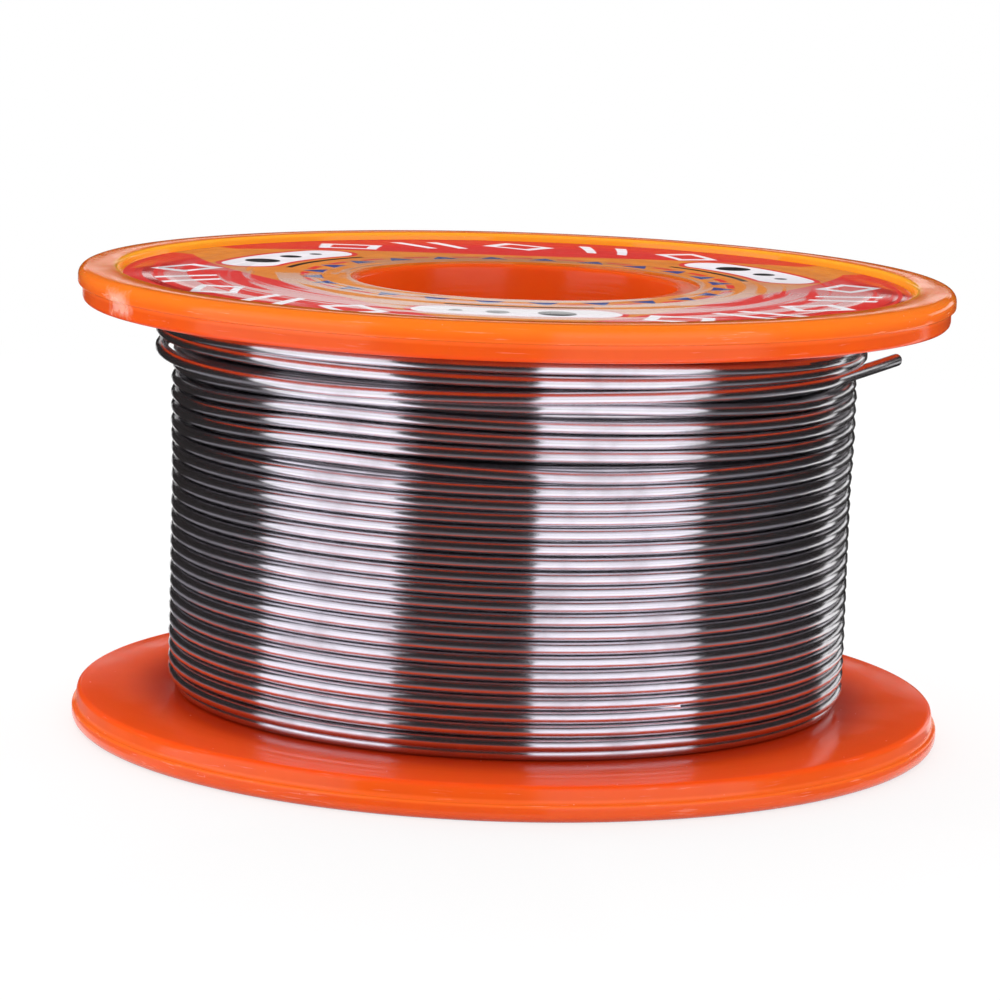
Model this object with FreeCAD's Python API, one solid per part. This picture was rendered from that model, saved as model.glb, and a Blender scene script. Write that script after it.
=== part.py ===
import FreeCAD, Part
import math
import os

# Reel of solder wire: two moulded flanges pressed on a ribbed hub, a label in each flange,
# and one long wire wound on the hub in layers, with its cut end sticking out.
# Millimetres, +Z up along the reel's axis, origin on the axis at the plane the reel stands on.

Vector = FreeCAD.Vector
AXIS = Vector(0, 0, 1)
CENTRE = Vector(0, 0, 0)

# Flanges
flange_diameter = 55.0
overall_height = 28.8
rim_thickness = 2.2
rim_bead_width = 2.5
label_recess_depth = 0.55
outer_band_height = 1.1
rim_step_depth = 0.3
rim_corner_radius = 0.6
bead_edge_radius = 0.25
wire_side_edge_radius = 0.2

# Hub
bore_diameter = 20.0
bore_tube_wall = 1.0
bore_edge_radius = 0.3
barrel_diameter = 31.0
barrel_wall = 1.2
barrel_seat_depth = 0.5
rib_count = 6
rib_thickness = 1.2
anchor_hole_diameter = 1.3
anchor_hole_depth = 1.2
anchor_hole_angle = 90.0

# Labels
label_thickness = 0.12
label_edge_clearance = 0.3
label_hole_diameter = 22.0
label_hole_shift = 0.5

# Wire
wire_diameter = 0.8
flux_core_diameter = 0.3
layer_count = 8
turns_per_layer = 28
layer_rise = 0.74
turn_groove_depth = 0.22

# The unfinished top layer
upper_turn_count = 2
upper_turn_pitch = 0.85
upper_turn_gap = 0.5
slack_shift = 0.2
slack_clearance = 0.02
last_turn_drop = 0.9
last_turn_sweep = 330.0
leaving_angle = -23.0

# Free end, as steps from where it leaves the last turn: along it, outward and up
free_end_steps = [
    (0.0, 0.0, 0.0),
    (2.6, 0.0, 0.0),
    (5.1, 0.03, 0.0),
    (7.5, 0.1, 0.02),
    (9.8, 0.25, 0.08),
]

# Inner end, as steps from the barrel's surface at the anchor hole: sideways, inward and down
inner_end_steps = [
    (0.0, 0.0, 0.0),
    (0.0, 2.45, 0.0),
    (1.9, 3.55, 0.1),
    (4.0, 3.5, 0.35),
]

arc_share_of_run = 0.45

# Derived sizes
flange_radius = flange_diameter / 2
wire_side_radius = flange_radius - rim_step_depth
recess_radius = flange_radius - rim_bead_width
bore_radius = bore_diameter / 2
bore_tube_radius = bore_radius + bore_tube_wall
barrel_radius = barrel_diameter / 2
barrel_inner_radius = barrel_radius - barrel_wall
lower_face = rim_thickness
upper_face = overall_height - rim_thickness
traverse = upper_face - lower_face
turn_pitch = traverse / turns_per_layer
anchor_height = upper_face - anchor_hole_depth
wire_radius = wire_diameter / 2
first_layer_radius = barrel_radius + wire_radius
outer_layer_radius = first_layer_radius + layer_rise * (layer_count - 1)
outer_layer_inner = outer_layer_radius + wire_radius - wire_diameter
pack_radius = outer_layer_radius + wire_radius
loose_turn_radius = pack_radius + slack_shift + slack_clearance + wire_radius
first_upper_turn = upper_face - upper_turn_gap - wire_radius
last_turn_height = first_upper_turn - upper_turn_pitch * (upper_turn_count - 1) - last_turn_drop


def tube_between(inner_radius, outer_radius, bottom, top):
    outer = Part.makeCylinder(outer_radius, top - bottom, Vector(0, 0, bottom))
    return outer.cut(Part.makeCylinder(inner_radius, top - bottom, Vector(0, 0, bottom)))


def rounded_edges(points, radii, closed=False):
    """Straight edges through the points, with a tangent arc of the given radius at each corner."""
    count = len(points)
    starts = list(points)
    ends = list(points)
    arcs = [None] * count
    for i in range(count):
        if radii[i] <= 0:
            continue
        arriving = (points[i] - points[i - 1]).normalize()
        leaving = (points[(i + 1) % count] - points[i]).normalize()
        half_turn = arriving.getAngle(leaving) / 2
        setback = radii[i] * math.tan(half_turn)
        inward = (leaving - arriving).normalize()
        middle = points[i] + inward * (radii[i] / math.cos(half_turn) - radii[i])
        ends[i] = points[i] - arriving * setback
        starts[i] = points[i] + leaving * setback
        arcs[i] = Part.Arc(ends[i], middle, starts[i]).toShape()
    edges = []
    for i in range(count):
        if arcs[i] is not None:
            edges.append(arcs[i])
        if closed or i < count - 1:
            edges.append(Part.LineSegment(starts[i], ends[(i + 1) % count]).toShape())
    return edges


def turned(corners):
    """Solid of revolution from (radius, height, corner rounding) corners."""
    points = [Vector(radius, 0, height) for radius, height, rounding in corners]
    radii = [rounding for radius, height, rounding in corners]
    face = Part.Face(Part.Wire(rounded_edges(points, radii, closed=True)))
    return face.revolve(CENTRE, AXIS, 360)


def scalloped_ring(inner_radius, crest_radius, bottom, pitch, count, shift=0.0):
    """Ring with one rounded crest per turn of wire and a plain cylindrical inside."""
    root_radius = crest_radius - turn_groove_depth
    edges = []
    for turn in range(count):
        low = bottom + pitch * turn
        start = Vector(root_radius, 0, low)
        crest = Vector(crest_radius, 0, low + pitch / 2)
        end = Vector(root_radius, 0, low + pitch)
        edges.append(Part.Arc(start, crest, end).toShape())
    top = bottom + pitch * count
    edges.append(Part.LineSegment(Vector(root_radius, 0, top), Vector(0, 0, top)).toShape())
    edges.append(Part.LineSegment(Vector(0, 0, top), Vector(0, 0, bottom)).toShape())
    edges.append(Part.LineSegment(Vector(0, 0, bottom), Vector(root_radius, 0, bottom)).toShape())
    crests = Part.Face(Part.Wire(edges)).revolve(CENTRE, AXIS, 360)
    crests.translate(Vector(-shift, 0, 0))
    return crests.cut(Part.makeCylinder(inner_radius, top - bottom, Vector(0, 0, bottom)))


def corner_radii(points):
    """Bend radius at each inner point of a wire's route, from its shorter neighbouring run."""
    radii = [0.0] * len(points)
    for i in range(1, len(points) - 1):
        arriving = points[i] - points[i - 1]
        leaving = points[i + 1] - points[i]
        half_turn = arriving.getAngle(leaving) / 2
        shorter_run = min(arriving.Length, leaving.Length)
        radii[i] = arc_share_of_run * shorter_run / math.tan(half_turn)
    return radii


def swept(points, diameter):
    """Round rod along a route of straight runs and tangent arcs."""
    path = Part.Wire(rounded_edges(points, corner_radii(points)))
    start = points[0]
    direction = (points[1] - points[0]).normalize()
    section = Part.Wire(Part.makeCircle(diameter / 2, start, direction))
    rod = path.makePipeShell([section], True, False)
    return rod, path.Length


def report_route(name, points, solid, section_area, length):
    bends = ", ".join("%.1f" % radius for radius in corner_radii(points)[1:-1])
    share = solid.Volume / (section_area * length)
    print("%s: length %.2f mm, bend radii %s mm, volume ratio %.4f" % (name, length, bends, share))


def make_lower_flange():
    """Disc with a raised rim bead on its outer side and a seat for the barrel on its inner side."""
    seat_floor = lower_face - barrel_seat_depth
    corners = [
        (bore_tube_radius, label_recess_depth, 0),
        (recess_radius, label_recess_depth, 0),
        (recess_radius, 0, bead_edge_radius),
        (flange_radius, 0, rim_corner_radius),
        (flange_radius, outer_band_height, 0),
        (wire_side_radius, outer_band_height, 0),
        (wire_side_radius, lower_face, wire_side_edge_radius),
        (barrel_radius, lower_face, 0),
        (barrel_radius, seat_floor, 0),
        (barrel_inner_radius, seat_floor, 0),
        (barrel_inner_radius, lower_face, 0),
        (bore_tube_radius, lower_face, 0),
    ]
    return turned(corners)


def to_upper_end(shape):
    """The same shape at the other end of the reel, turned over about the reel's middle."""
    flipped = shape.copy()
    flipped.rotate(Vector(0, 0, overall_height / 2), Vector(0, 1, 0), 180)
    return flipped


def make_hub():
    """Barrel and bore tube joined by radial ribs, with a hole for the inner end of the wire."""
    barrel_bottom = lower_face - barrel_seat_depth
    barrel_top = upper_face + barrel_seat_depth
    barrel = tube_between(barrel_inner_radius, barrel_radius, barrel_bottom, barrel_top)
    tube_bottom = label_recess_depth
    tube_top = overall_height - label_recess_depth
    corners = [
        (bore_radius, tube_bottom, bore_edge_radius),
        (bore_tube_radius, tube_bottom, 0),
        (bore_tube_radius, tube_top, 0),
        (bore_radius, tube_top, bore_edge_radius),
    ]
    hub = turned(corners).fuse(barrel)
    middle_radius = (bore_tube_radius + barrel_inner_radius) / 2
    rib_reach = barrel_inner_radius - bore_tube_radius + bore_tube_wall
    for i in range(rib_count):
        corner = Vector(middle_radius - rib_reach / 2, -rib_thickness / 2, lower_face)
        rib = Part.makeBox(rib_reach, rib_thickness, traverse, corner)
        rib.rotate(CENTRE, AXIS, i * 360 / rib_count)
        hub = hub.fuse(rib)
    hole_start = Vector(barrel_inner_radius - barrel_wall, 0, anchor_height)
    hole = Part.makeCylinder(anchor_hole_diameter / 2, barrel_wall * 3, hole_start, Vector(1, 0, 0))
    hole.rotate(CENTRE, AXIS, anchor_hole_angle)
    return hub.cut(hole).removeSplitter()


def make_lower_label():
    """Thin disc seated in the recess, its hole a little off centre as it was stuck on."""
    radius = recess_radius - label_edge_clearance
    bottom = label_recess_depth - label_thickness
    disc = Part.makeCylinder(radius, label_thickness, Vector(0, 0, bottom))
    hole_centre = Vector(-label_hole_shift, 0, bottom)
    return disc.cut(Part.makeCylinder(label_hole_diameter / 2, label_thickness, hole_centre))


def make_inner_layers():
    """Outer shape of all the full layers but the outermost."""
    return tube_between(barrel_radius, outer_layer_inner, lower_face, upper_face)


def make_outer_layer():
    return scalloped_ring(outer_layer_inner, pack_radius, lower_face, turn_pitch, turns_per_layer)


def make_upper_turns():
    """The loose turns of the unfinished layer, slack to one side."""
    top = first_upper_turn + upper_turn_pitch / 2
    bottom = top - upper_turn_pitch * upper_turn_count
    crest_radius = loose_turn_radius + wire_radius
    return scalloped_ring(pack_radius, crest_radius, bottom, upper_turn_pitch, upper_turn_count, slack_shift)


def leaving_frame():
    """Where the free end leaves the last turn, with its forward and outward directions."""
    angle = math.radians(leaving_angle)
    outward = Vector(math.cos(angle), math.sin(angle), 0)
    forward = Vector(-math.sin(angle), math.cos(angle), 0)
    point = Vector(-slack_shift, 0, last_turn_height) + outward * loose_turn_radius
    return point, forward, outward


def make_last_turn():
    """Most of one turn of wire, ending where the free end begins."""
    centre = Vector(-slack_shift, 0, last_turn_height)
    section_centre = centre + Vector(loose_turn_radius, 0, 0)
    section = Part.Face(Part.Wire(Part.makeCircle(wire_radius, section_centre, Vector(0, 1, 0))))
    turn = section.revolve(centre, AXIS, last_turn_sweep)
    turn.rotate(centre, AXIS, leaving_angle - last_turn_sweep)
    return turn


def free_end_route():
    point, forward, outward = leaving_frame()
    return [point + forward * along + outward * out + AXIS * up for along, out, up in free_end_steps]


def make_free_end():
    """The cut end of the wire and the flux in the middle of it."""
    route = free_end_route()
    rod, length = swept(route, wire_diameter)
    flux, length = swept(route, flux_core_diameter)
    metal = rod.cut(flux)
    metal_area = math.pi * (wire_diameter ** 2 - flux_core_diameter ** 2) / 4
    report_route("free end", route, metal, metal_area, length)
    return metal, flux


def make_wire_start():
    """The inner end of the wire, from the barrel's surface through the anchor hole."""
    angle = math.radians(anchor_hole_angle)
    inward = Vector(-math.cos(angle), -math.sin(angle), 0)
    sideways = Vector(math.sin(angle), -math.cos(angle), 0)
    mouth = Vector(0, 0, anchor_height) - inward * barrel_radius
    route = [mouth + sideways * side + inward * depth - AXIS * down for side, depth, down in inner_end_steps]
    rod, length = swept(route, wire_diameter)
    report_route("inner end", route, rod, math.pi * wire_radius ** 2, length)
    return rod


def wound_length():
    """Length of wire in all the turns, without its two ends."""
    total = 0.0
    for layer in range(layer_count):
        radius = first_layer_radius + layer_rise * layer
        total += turns_per_layer * math.hypot(2 * math.pi * radius, turn_pitch)
    upper_sweep = upper_turn_count + last_turn_sweep / 360
    return total + upper_sweep * 2 * math.pi * loose_turn_radius


def build():
    lower_flange = make_lower_flange()
    lower_label = make_lower_label()
    free_end, flux = make_free_end()
    pieces = {
        "lower_flange": lower_flange,
        "upper_flange": to_upper_end(lower_flange),
        "hub": make_hub(),
        "lower_label": lower_label,
        "upper_label": to_upper_end(lower_label),
        "wire_start": make_wire_start(),
        "wire_inner_layers": make_inner_layers(),
        "wire_outer_layer": make_outer_layer(),
        "wire_upper_turns": make_upper_turns(),
        "wire_last_turn": make_last_turn(),
        "wire_free_end": free_end,
        "flux_core": flux,
    }
    os.makedirs("parts", exist_ok=True)
    for name, shape in pieces.items():
        print("%-18s solids %d valid %s volume %.1f mm3" % (name, len(shape.Solids), shape.isValid(), shape.Volume))
        shape.exportStep("parts/%s.step" % name)
    metres = wound_length() / 1000
    print("wound wire: %.2f m" % metres)


build()
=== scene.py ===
import bpy
import bmesh
import math
import random
from mathutils import Matrix, Vector


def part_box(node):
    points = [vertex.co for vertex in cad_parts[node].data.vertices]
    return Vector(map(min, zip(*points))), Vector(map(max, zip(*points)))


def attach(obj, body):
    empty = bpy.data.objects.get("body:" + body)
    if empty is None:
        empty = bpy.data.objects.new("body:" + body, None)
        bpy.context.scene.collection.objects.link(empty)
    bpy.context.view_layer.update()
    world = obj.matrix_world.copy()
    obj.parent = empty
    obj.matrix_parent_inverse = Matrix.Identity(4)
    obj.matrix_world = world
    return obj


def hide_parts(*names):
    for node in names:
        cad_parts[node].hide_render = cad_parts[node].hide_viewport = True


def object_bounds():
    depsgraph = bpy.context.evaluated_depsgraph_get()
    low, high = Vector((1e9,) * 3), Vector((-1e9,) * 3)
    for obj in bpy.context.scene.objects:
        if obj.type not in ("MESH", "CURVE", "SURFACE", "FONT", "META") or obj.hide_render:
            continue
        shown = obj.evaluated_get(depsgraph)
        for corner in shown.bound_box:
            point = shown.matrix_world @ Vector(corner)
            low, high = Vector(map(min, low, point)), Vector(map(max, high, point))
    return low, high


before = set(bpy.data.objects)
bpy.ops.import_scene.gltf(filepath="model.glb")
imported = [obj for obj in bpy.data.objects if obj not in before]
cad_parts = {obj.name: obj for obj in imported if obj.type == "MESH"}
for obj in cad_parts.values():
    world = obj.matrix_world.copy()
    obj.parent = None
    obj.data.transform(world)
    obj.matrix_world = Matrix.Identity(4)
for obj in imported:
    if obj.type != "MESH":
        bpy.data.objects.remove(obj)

cadLow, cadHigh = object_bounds()
mm = 0.001
spoolHeight = cadHigh.z
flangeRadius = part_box("upper_flange")[1].x
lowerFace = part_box("lower_flange")[1].z
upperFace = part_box("upper_flange")[0].z
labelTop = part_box("upper_label")[1].z
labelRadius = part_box("upper_label")[1].y
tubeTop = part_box("hub")[1].z
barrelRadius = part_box("hub")[1].x
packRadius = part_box("wire_outer_layer")[1].x
print("frame loaded, spool is %.1f mm high" % (spoolHeight / mm))


# picking and shaping

def deselectAll():
    if bpy.context.mode != "OBJECT":
        bpy.ops.object.mode_set(mode="OBJECT")
    bpy.ops.object.select_all(action="DESELECT")


def editPiece(piece, action="DESELECT"):
    deselectAll()
    piece.select_set(True)
    bpy.context.view_layer.objects.active = piece
    bpy.ops.object.mode_set(mode="EDIT")
    bpy.ops.mesh.select_mode(type="FACE")
    bpy.ops.mesh.select_all(action=action)


def pickFaces(test):
    bpy.ops.mesh.select_mode(type="FACE")
    bpy.ops.mesh.select_all(action="DESELECT")
    mesh = bmesh.from_edit_mesh(bpy.context.object.data)
    for face in mesh.faces:
        face.select_set(bool(test(face.calc_center_median(), face.normal)))
    bmesh.update_edit_mesh(bpy.context.object.data)


def pickEdges(test):
    # test gets the two ends of each edge
    bpy.ops.mesh.select_mode(type="EDGE")
    bpy.ops.mesh.select_all(action="DESELECT")
    mesh = bmesh.from_edit_mesh(bpy.context.object.data)
    for edge in mesh.edges:
        edge.select_set(bool(test(edge.verts[0].co, edge.verts[1].co)))
    bmesh.update_edit_mesh(bpy.context.object.data)


def pickRing(radius, height, slack=0.02 * mm):
    # the edges that run round the axis at this radius and height
    def onRing(*ends):
        return all(abs(math.hypot(end.x, end.y) - radius) < slack and abs(end.z - height) < slack
                   for end in ends)
    pickEdges(onRing)


def bevelRing(radius, height, width, segments):
    pickRing(radius, height)
    bpy.ops.mesh.bevel(offset=width, segments=segments, affect="EDGES")


def bridgeLoops():
    bpy.ops.mesh.bridge_edge_loops()


def addCylinder(name, radius, bottom, top, sides):
    deselectAll()
    bpy.ops.mesh.primitive_cylinder_add(vertices=sides, radius=radius, depth=top - bottom,
                                        end_fill_type="NGON", location=(0, 0, (bottom + top) / 2))
    piece = bpy.context.object
    piece.name = name
    piece.data.name = name
    bpy.ops.object.transform_apply(location=True, rotation=True, scale=True)
    return piece


def endPiece(piece):
    editPiece(piece, "SELECT")
    bpy.ops.mesh.remove_doubles(threshold=0.001 * mm)
    bpy.ops.mesh.normals_make_consistent(inside=False)
    bpy.ops.object.mode_set(mode="OBJECT")
    bpy.ops.object.shade_smooth_by_angle(angle=math.radians(35))
    deselectAll()


def copyPiece(piece, name):
    copied = piece.copy()
    copied.data = piece.data.copy()
    copied.name = name
    copied.data.name = name
    bpy.context.scene.collection.objects.link(copied)
    return copied


def turnOver(piece):
    # to the other end of the spool
    editPiece(piece, "SELECT")
    bpy.ops.transform.rotate(value=math.pi, orient_axis="Y", center_override=(0, 0, spoolHeight / 2))
    bpy.ops.object.mode_set(mode="OBJECT")
    deselectAll()


def placed(piece, slot, *nodes):
    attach(piece, "root")
    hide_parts(*nodes)


def paint(piece, material):
    piece.data.materials.clear()
    piece.data.materials.append(material)


# node helpers

def newMaterial(name):
    material = bpy.data.materials.new(name)
    material.use_nodes = True
    tree = material.node_tree
    tree.nodes.clear()
    output = tree.nodes.new("ShaderNodeOutputMaterial")
    shader = tree.nodes.new("ShaderNodeBsdfPrincipled")
    tree.links.new(shader.outputs["BSDF"], output.inputs["Surface"])
    return material, tree, shader


def put(tree, value, socket):
    if isinstance(value, bpy.types.NodeSocket):
        tree.links.new(value, socket)
    else:
        socket.default_value = value


def setSockets(tree, node, **values):
    # by name, with _ for a space: a number or a colour is set, another socket is linked
    for label, value in values.items():
        put(tree, value, node.inputs[label.replace("_", " ")])


def newGroup(name, inputs, outputs):
    # inputs are (name, kind, value), outputs are (name, kind)
    tree = bpy.data.node_groups.new(name, "ShaderNodeTree")
    for label, kind, value in inputs:
        socket = tree.interface.new_socket(name=label, in_out="INPUT", socket_type=kind)
        socket.default_value = value
    for label, kind in outputs:
        tree.interface.new_socket(name=label, in_out="OUTPUT", socket_type=kind)
    groupIn = tree.nodes.new("NodeGroupInput")
    groupOut = tree.nodes.new("NodeGroupOutput")
    return tree, groupIn.outputs, groupOut.inputs


def useGroup(tree, group, **values):
    node = tree.nodes.new("ShaderNodeGroup")
    node.node_tree = group
    setSockets(tree, node, **values)
    return node.outputs


def calc(tree, operation, a, b=0.0, c=0.0, clamp=False):
    node = tree.nodes.new("ShaderNodeMath")
    node.operation = operation
    node.use_clamp = clamp
    for value, socket in zip((a, b, c), node.inputs):
        put(tree, value, socket)
    return node.outputs[0]


def product(tree, a, b):
    return calc(tree, "MULTIPLY", a, b)


def vectorCalc(tree, operation, a, b):
    node = tree.nodes.new("ShaderNodeVectorMath")
    node.operation = operation
    put(tree, a, node.inputs[0])
    put(tree, b, node.inputs[1])
    return node.outputs[0]


def mixColour(tree, factor, a, b):
    node = tree.nodes.new("ShaderNodeMix")
    node.data_type = "RGBA"
    put(tree, factor, node.inputs[0])
    put(tree, a, node.inputs[6])
    put(tree, b, node.inputs[7])
    return node.outputs[2]


def ramp(tree, value, low, high, toLow=0.0, toHigh=1.0, smooth=True):
    node = tree.nodes.new("ShaderNodeMapRange")
    node.interpolation_type = "SMOOTHSTEP" if smooth else "LINEAR"
    node.clamp = True
    for given, socket in zip((value, low, high, toLow, toHigh), node.inputs):
        put(tree, given, socket)
    return node.outputs[0]


def noise(tree, vector, scale, detail=2.0, roughness=0.5, distortion=0.0):
    node = tree.nodes.new("ShaderNodeTexNoise")
    setSockets(tree, node, Vector=vector, Scale=scale, Detail=detail, Roughness=roughness,
               Distortion=distortion)
    return node.outputs["Fac"]


def combine(tree, x, y, z):
    node = tree.nodes.new("ShaderNodeCombineXYZ")
    for value, socket in zip((x, y, z), node.inputs):
        put(tree, value, socket)
    return node.outputs[0]


def objectPlace(tree):
    # place on the piece in millimetres, with its radius and its angle in degrees
    coordinates = tree.nodes.new("ShaderNodeTexCoord")
    inMm = vectorCalc(tree, "MULTIPLY", coordinates.outputs["Object"], (1 / mm,) * 3)
    split = tree.nodes.new("ShaderNodeSeparateXYZ")
    tree.links.new(inMm, split.inputs[0])
    x, y, z = split.outputs
    squares = calc(tree, "ADD", product(tree, x, x), product(tree, y, y))
    radius = calc(tree, "SQRT", squares)
    angle = product(tree, calc(tree, "ARCTAN2", y, x), 180 / math.pi)
    return inMm, x, y, z, radius, angle


def bump(tree, height, strength, distance):
    node = tree.nodes.new("ShaderNodeBump")
    setSockets(tree, node, Strength=strength, Distance=distance, Height=height)
    return node.outputs["Normal"]


def seenShare(tree):
    # 1 for rays from the camera and from glossy or clear surfaces
    rays = tree.nodes.new("ShaderNodeLightPath")
    seen = calc(tree, "MAXIMUM", rays.outputs["Is Camera Ray"], rays.outputs["Is Glossy Ray"])
    return calc(tree, "MAXIMUM", seen, rays.outputs["Is Transmission Ray"])


# shared surface effects

def makeDustGroup():
    tree, given, made = newGroup(
        "fineDust",
        [("Place", "NodeSocketVector", (0, 0, 0)), ("Size", "NodeSocketFloat", 3.0),
         ("Amount", "NodeSocketFloat", 0.5)],
        [("Mask", "NodeSocketFloat")])
    specks = tree.nodes.new("ShaderNodeTexVoronoi")
    specks.feature = "F1"
    setSockets(tree, specks, Vector=given["Place"], Scale=given["Size"])
    core = ramp(tree, specks.outputs["Distance"], 0.0, 0.16, 1.0, 0.0)
    split = tree.nodes.new("ShaderNodeSeparateColor")
    tree.links.new(specks.outputs["Color"], split.inputs[0])
    chosen = calc(tree, "LESS_THAN", split.outputs[0], product(tree, given["Amount"], 0.3))
    patches = ramp(tree, noise(tree, given["Place"], 0.22, 3.0), 0.42, 0.62)
    mask = product(tree, product(tree, core, chosen), patches)
    tree.links.new(mask, made["Mask"])
    return tree


def makeGrainGroup():
    tree, given, made = newGroup(
        "mouldedGrain",
        [("Place", "NodeSocketVector", (0, 0, 0)), ("Size", "NodeSocketFloat", 1.0)],
        [("Height", "NodeSocketFloat"), ("Cloud", "NodeSocketFloat")])
    scaled = tree.nodes.new("ShaderNodeVectorMath")
    scaled.operation = "SCALE"
    tree.links.new(given["Place"], scaled.inputs[0])
    tree.links.new(given["Size"], scaled.inputs["Scale"])
    fine = noise(tree, scaled.outputs[0], 9.0, 3.0, 0.6)
    broad = noise(tree, scaled.outputs[0], 0.55, 2.0, 0.5)
    height = calc(tree, "ADD", product(tree, fine, 0.25), broad)
    tree.links.new(height, made["Height"])
    tree.links.new(noise(tree, scaled.outputs[0], 0.3, 4.0, 0.55), made["Cloud"])
    return tree


def makeWearGroup():
    # rubbed marks: thin scuffs that run round the piece, most of them near a given radius
    tree, given, made = newGroup(
        "edgeScuffs",
        [("Place", "NodeSocketVector", (0, 0, 0)), ("Radius", "NodeSocketFloat", 20.0),
         ("Angle", "NodeSocketFloat", 0.0), ("Height", "NodeSocketFloat", 0.0),
         ("Edge", "NodeSocketFloat", 27.3), ("Reach", "NodeSocketFloat", 0.5)],
        [("Mask", "NodeSocketFloat")])
    along = combine(tree, product(tree, given["Radius"], 5.0),
                    product(tree, given["Angle"], 0.16),
                    product(tree, given["Height"], 5.0))
    marks = ramp(tree, noise(tree, along, 1.0, 4.0, 0.6), 0.60, 0.72)
    fromEdge = calc(tree, "SUBTRACT", given["Edge"], given["Radius"])
    near = ramp(tree, fromEdge, 0.0, given["Reach"], 1.0, 0.0)
    tree.links.new(product(tree, marks, near), made["Mask"])
    return tree


dustGroup = makeDustGroup()
grainGroup = makeGrainGroup()
wearGroup = makeWearGroup()


# orange plastic

orangeFinishAndPaintedLight = {
    "colour": (0.83, 0.100, 0.006, 1),
    "paintedGlowColour": (1.0, 0.245, 0.020, 1),     # painted light: lighter where light gets into the thin rim
    "paintedWallLightColour": (1.0, 0.42, 0.030, 1),      # painted light on the wall of the bead, towards the label
    # painted shade: deeper red on the faces towards the winding
    "wireSideShadeColour": (0.88, 0.078, 0.006, 1),
    # painted shade next to the winding
    "nearWireShadeColour": (0.36, 0.012, 0.002, 1),
    # random dark tone, and painted shade at the foot and in the bore
    "darkColour": (0.55, 0.045, 0.006, 1),
    "scuffColour": (1.0, 0.62, 0.50, 1),
    "dustColour": (0.95, 0.62, 0.5, 1),
    "paintedSeamLightColour": (1.0, 0.19, 0.03, 1),       # painted light: lighter where light gets into the step on the rim as well
    "roughness": 0.17,
    "dustShare": 0.35,
    "gateAngle": -150.3,                      # gate mark on the upper rim
}

# where the finish, its painted light and its painted shade change, as (from, to) radii and heights in
# millimetres
orangeZones = {
    "beadRadii": (24.6, 25.0),
    "beadHeights": (27.3, 28.7),
    "beadWallRadii": (25.0, 25.5),
    "footHeights": (0.1, 0.5),
    "wireSideHeights": (12.25, 12.6),         # from the middle of the spool
    "wireSideRadii": (12.0, 13.0),
    "nearWireRadii": (21.2, 24.6),
    "rimRadii": (26.6, 26.9),
    "boreRadii": (10.1, 10.4),
    "seamHeight": 13.25,                      # from the middle of the spool
    "seamReach": (0.10, 0.28),
    "gateHeight": 27.65,
    "gateReach": (0.15, 1.05),
}


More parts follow.
